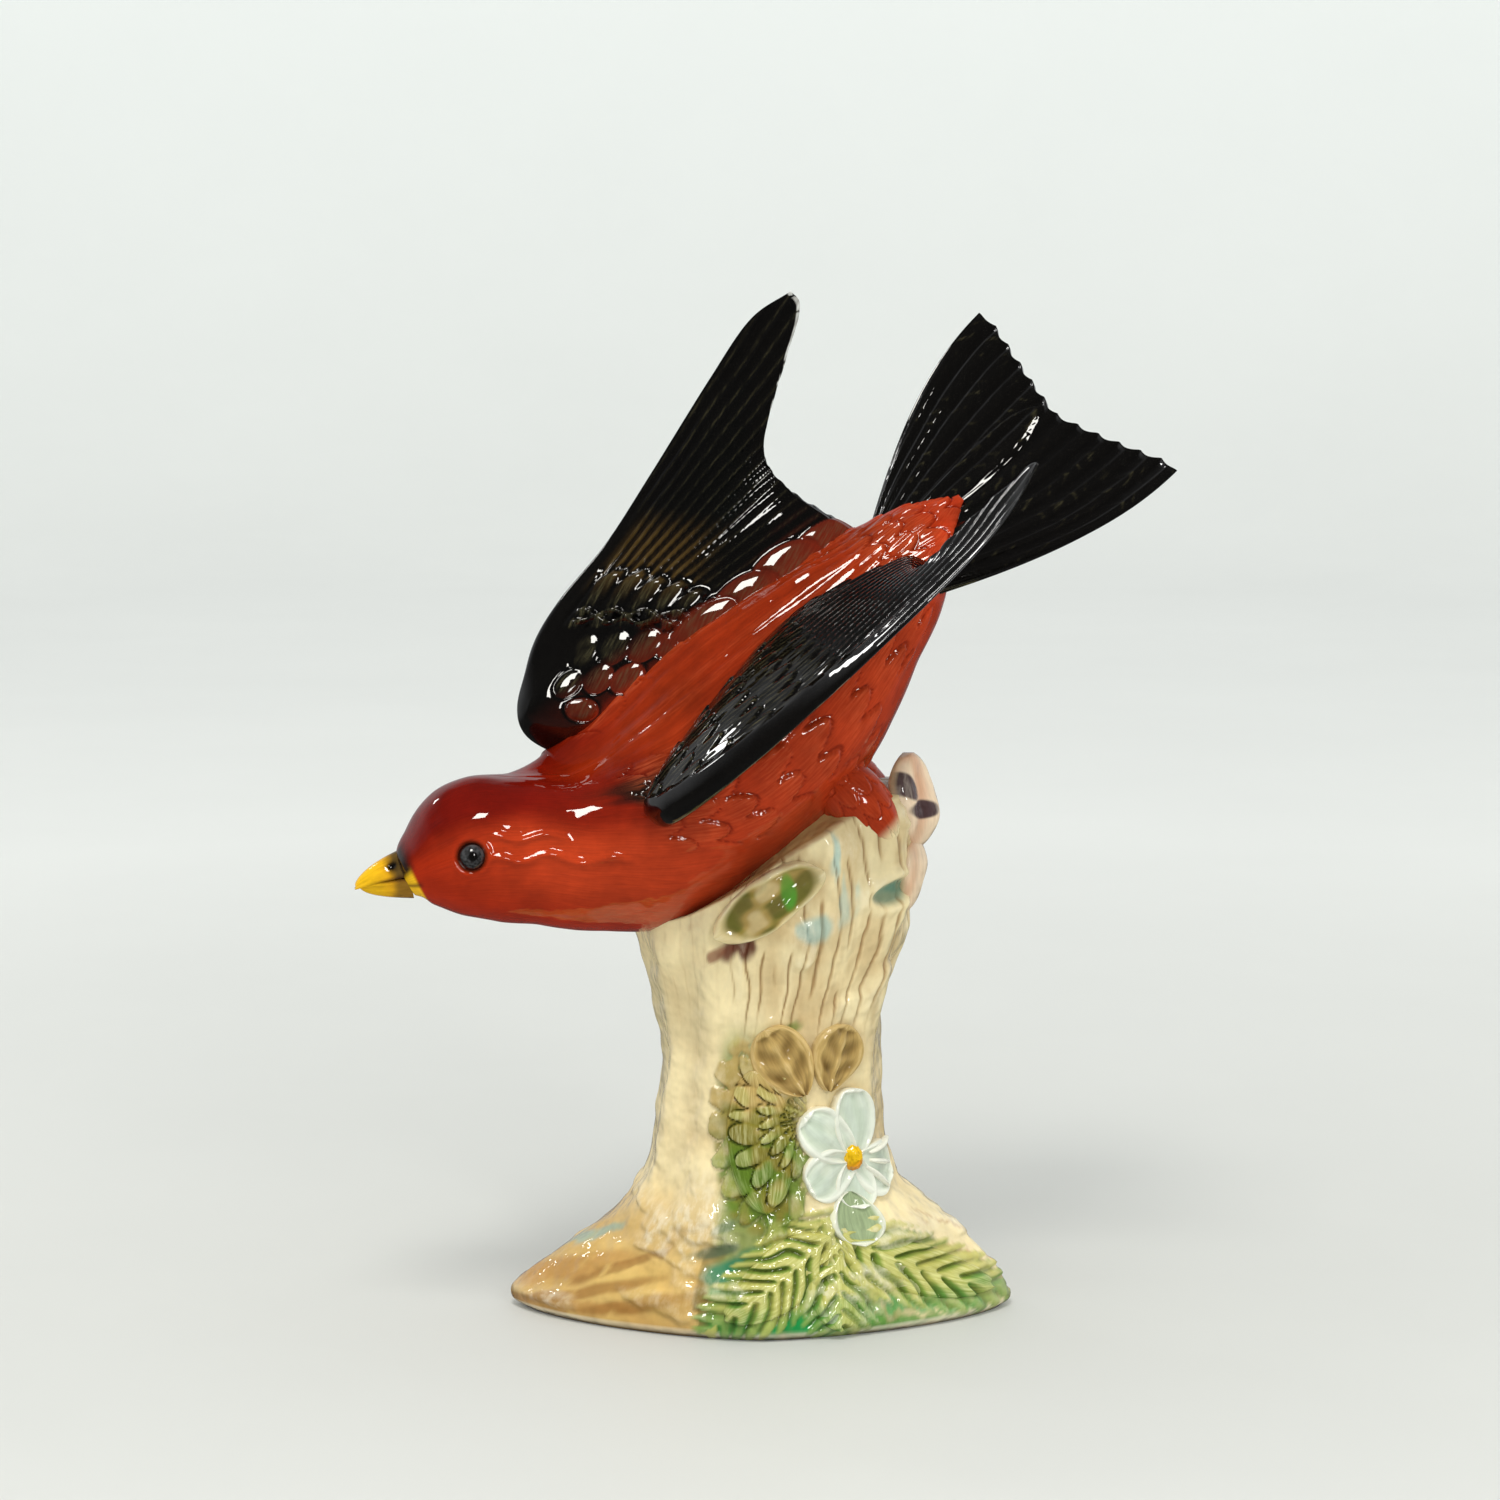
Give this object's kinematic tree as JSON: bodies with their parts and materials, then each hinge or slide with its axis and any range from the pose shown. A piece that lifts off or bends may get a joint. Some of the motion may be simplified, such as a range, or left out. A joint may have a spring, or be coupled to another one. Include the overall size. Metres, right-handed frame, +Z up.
{
  "type": "porcelain bird figurine",
  "caption": "Glazed porcelain figurine of a red songbird with raised black wings and spread tail, swooping over a cream tree stump with flowers and ferns",
  "frame": {"origin": "Centre of the figurine's outline seen from above, on the surface that it stands on. The axis of the stump is at x -0.5 mm, y 5.3 mm.", "axes": "+X away from the bill, along the wide side of the foot; -X is where the bill points; +Y away from the viewer, at the back; +Z up, normal to the resting surface"},
  "size_m": [0.1177, 0.0617, 0.1506],
  "materials": {
    "stump_glaze": "gloss",
    "scarlet_glaze": "gloss",
    "black_glaze": "gloss",
    "yellow_glaze": "gloss",
    "eye_glaze": "gloss",
    "petal_glaze": "gloss",
    "blossom_glaze": "gloss",
    "leaf_glaze": "gloss",
    "brown_glaze": "gloss"
  },
  "bodies": {
    "root": {"stump": "stump_glaze", "trunk": "scarlet_glaze", "right_wing": "black_glaze", "left_wing": "black_glaze", "tail": "black_glaze", "upper_bill": "yellow_glaze", "lower_bill": "yellow_glaze", "right_eye": "eye_glaze", "left_eye": "eye_glaze", "right_leg": "scarlet_glaze", "left_leg": "scarlet_glaze", "branch_stub": "stump_glaze", "petal_top": "petal_glaze", "petal_upper_left": "petal_glaze", "petal_lower_left": "petal_glaze", "petal_bottom": "petal_glaze", "petal_right": "petal_glaze", "flower_eye": "yellow_glaze", "stamens": "petal_glaze", "blossom_upper": "blossom_glaze", "blossom_lower": "blossom_glaze", "round_leaf": "leaf_glaze", "brown_leaf_left": "brown_glaze", "brown_leaf_right": "brown_glaze", "feather_leaf": "leaf_glaze", "fern_left": "leaf_glaze", "fern_middle": "leaf_glaze", "fern_right": "leaf_glaze"}
  },
  "joints": []
}
